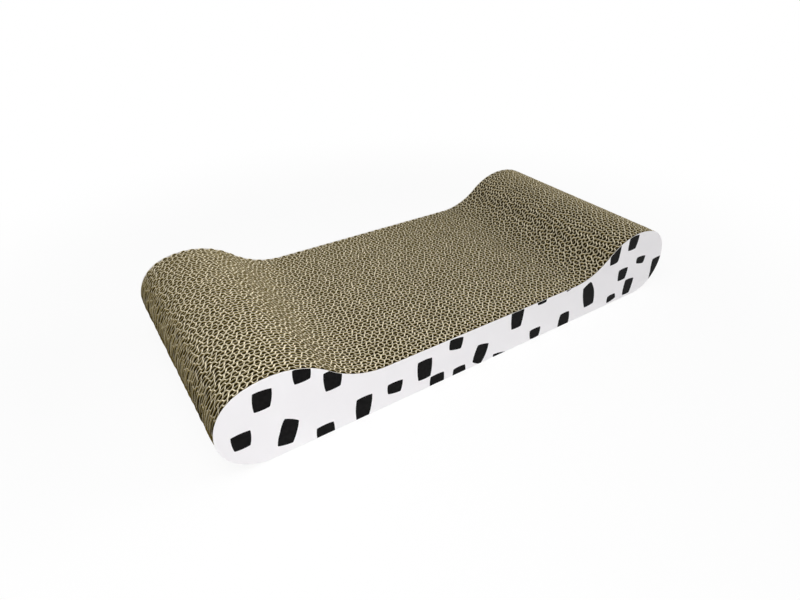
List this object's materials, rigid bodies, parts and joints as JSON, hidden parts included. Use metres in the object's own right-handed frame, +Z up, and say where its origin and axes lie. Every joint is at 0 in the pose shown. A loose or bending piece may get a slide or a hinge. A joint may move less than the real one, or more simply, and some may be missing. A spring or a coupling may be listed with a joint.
{
  "type": "cat scratcher",
  "caption": "Low scratching lounge for cats: corrugated boards glued side by side on edge between printed cover cards, with a rounded bolster at each end and a dipped seat between them.",
  "frame": {"origin": "on the floor, under the middle of the block", "axes": "+X along the length, +Y from the front cover card to the back cover card, +Z up"},
  "size_m": [0.42, 0.1906, 0.0657],
  "materials": {
    "kraft_board": "raw brown fluted board with pale cut paper edges",
    "printed_card": "smooth white card, satin, with scattered black rounded squares"
  },
  "bodies": {
    "root": {"front_cover": "printed_card", "board_01": "kraft_board", "board_02": "kraft_board", "board_03": "kraft_board", "board_04": "kraft_board", "board_05": "kraft_board", "board_06": "kraft_board", "board_07": "kraft_board", "board_08": "kraft_board", "board_09": "kraft_board", "board_10": "kraft_board", "board_11": "kraft_board", "board_12": "kraft_board", "board_13": "kraft_board", "board_14": "kraft_board", "board_15": "kraft_board", "board_16": "kraft_board", "board_17": "kraft_board", "board_18": "kraft_board", "board_19": "kraft_board", "board_20": "kraft_board", "board_21": "kraft_board", "board_22": "kraft_board", "board_23": "kraft_board", "board_24": "kraft_board", "board_25": "kraft_board", "board_26": "kraft_board", "board_27": "kraft_board", "board_28": "kraft_board", "board_29": "kraft_board", "board_30": "kraft_board", "back_cover": "printed_card"}
  },
  "joints": []
}
